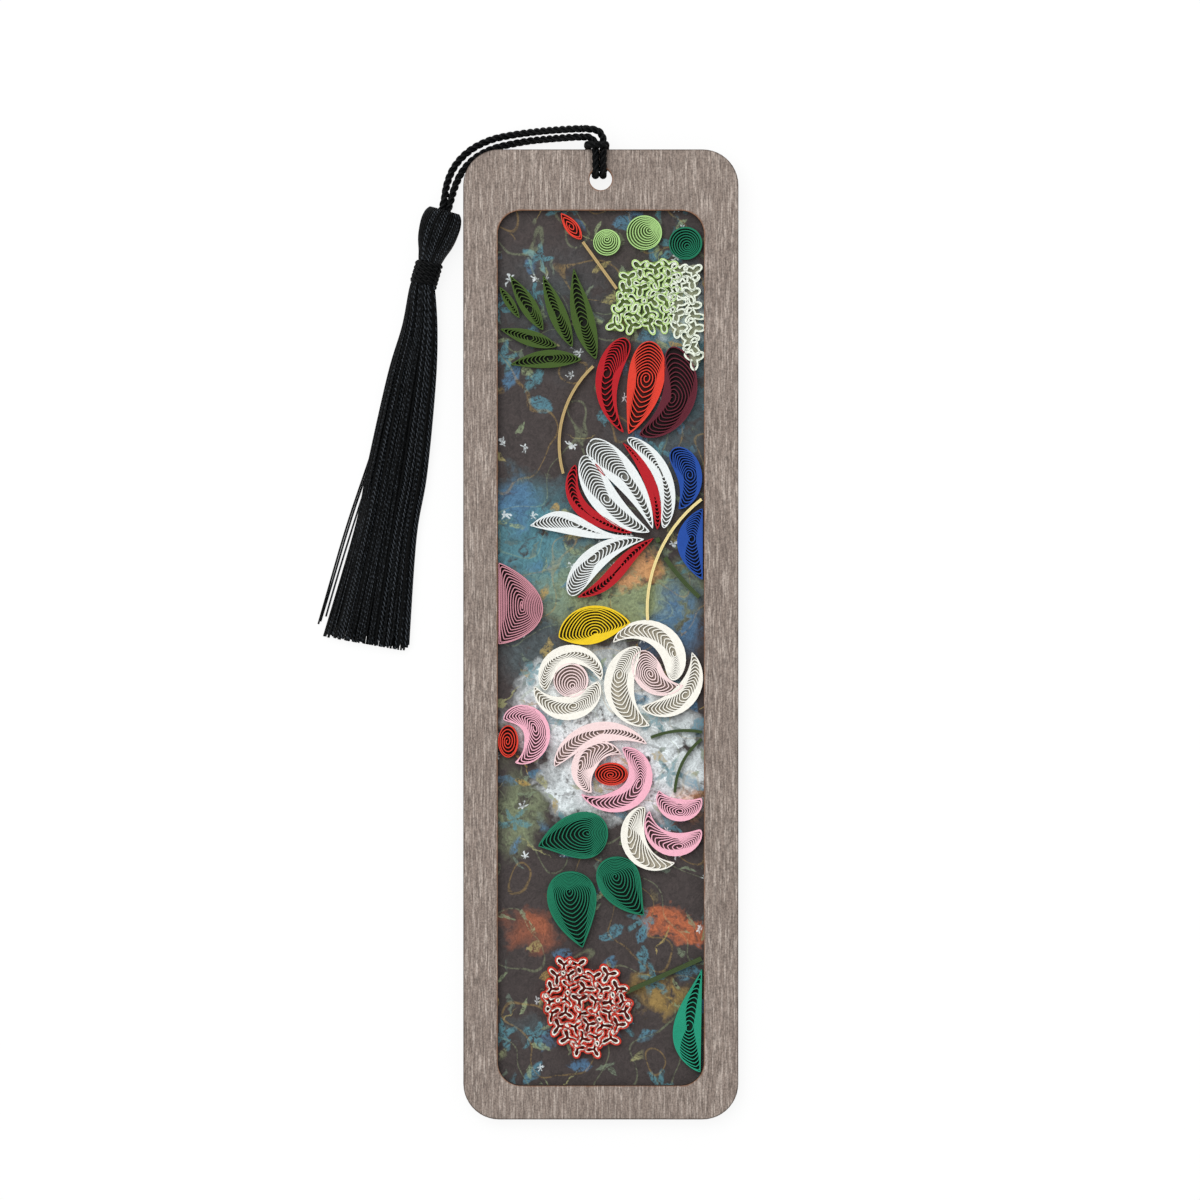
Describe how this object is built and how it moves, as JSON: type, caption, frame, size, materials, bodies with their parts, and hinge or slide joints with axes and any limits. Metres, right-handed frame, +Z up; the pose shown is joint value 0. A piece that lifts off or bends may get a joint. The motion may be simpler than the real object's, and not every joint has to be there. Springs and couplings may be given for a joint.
{
  "type": "quilled paper art",
  "caption": "Long narrow wooden frame with a quilled paper flower picture in its window, a cord hitched through a hole at the top and a tassel, lying flat.",
  "frame": {"origin": "on the floor, under the middle of the wooden frame", "axes": "+X to the right across the picture, +Y towards the cord hole, +Z up out of the picture; the board leans by about half a degree on the cord under its top end"},
  "size_m": [0.0759, 0.1826, 0.0076],
  "materials": {
    "wood_laminate": "open-grain laminate, matt, laser-burnt edges",
    "printed_card": "painterly print, satin",
    "scarlet_paper": "matt strip paper",
    "light_green_paper": "matt strip paper",
    "deep_green_paper": "matt strip paper",
    "olive_paper": "matt strip paper",
    "crimson_paper": "matt strip paper",
    "maroon_paper": "matt strip paper",
    "white_paper": "matt strip paper",
    "blue_paper": "matt strip paper",
    "dusky_pink_paper": "matt strip paper",
    "yellow_paper": "matt strip paper",
    "cream_paper": "matt strip paper",
    "pink_paper": "matt strip paper",
    "pale_pink_paper": "matt strip paper",
    "lime_paper": "matt strip paper",
    "tan_paper": "matt strip paper",
    "black_cord": "twisted satin cord"
  },
  "bodies": {
    "root": {"back_board": "wood_laminate", "front_frame": "wood_laminate", "picture_card": "printed_card", "red_bud": "scarlet_paper", "poppy_petal_middle": "scarlet_paper", "side_bud_heart": "scarlet_paper", "pink_rose_heart": "scarlet_paper", "red_snowball": "scarlet_paper", "small_green_coil": "light_green_paper", "large_green_coil": "light_green_paper", "dark_green_coil": "deep_green_paper", "green_leaf_1": "deep_green_paper", "green_leaf_2": "deep_green_paper", "green_leaf_3": "deep_green_paper", "edge_leaf": "deep_green_paper", "green_stems": "deep_green_paper", "fern_leaflet_1": "olive_paper", "fern_leaflet_2": "olive_paper", "fern_leaflet_3": "olive_paper", "fern_leaflet_4": "olive_paper", "fern_leaflet_5": "olive_paper", "fern_leaflet_6": "olive_paper", "poppy_petal_left": "crimson_paper", "tulip_red_1": "crimson_paper", "tulip_red_2": "crimson_paper", "tulip_red_3": "crimson_paper", "tulip_red_4": "crimson_paper", "poppy_petal_right": "maroon_paper", "tulip_white_1": "white_paper", "tulip_white_2": "white_paper", "tulip_white_3": "white_paper", "tulip_white_4": "white_paper", "tulip_white_5": "white_paper", "blue_petal_upper": "blue_paper", "blue_petal_lower": "blue_paper", "dusky_pink_petal": "dusky_pink_paper", "yellow_petal": "yellow_paper", "small_rose_outer": "cream_paper", "small_rose_lower": "cream_paper", "large_rose_upper": "cream_paper", "large_rose_left": "cream_paper", "large_rose_lower": "cream_paper", "cream_crescent": "cream_paper", "pink_rose_left": "pink_paper", "pink_rose_right": "pink_paper", "pale_pink_crescent": "pink_paper", "pink_crescent": "pink_paper", "side_bud_crescent": "pink_paper", "small_rose_heart": "pale_pink_paper", "large_rose_heart": "pale_pink_paper", "pink_rose_outer": "pale_pink_paper", "green_snowball": "lime_paper", "pale_snowball": "lime_paper", "tan_stems": "tan_paper", "cord_hitch": "black_cord", "cord_strand_left": "black_cord", "cord_strand_right": "black_cord", "tassel_head": "black_cord", "tassel_binding": "black_cord", "tassel_skirt": "black_cord"}
  },
  "joints": []
}
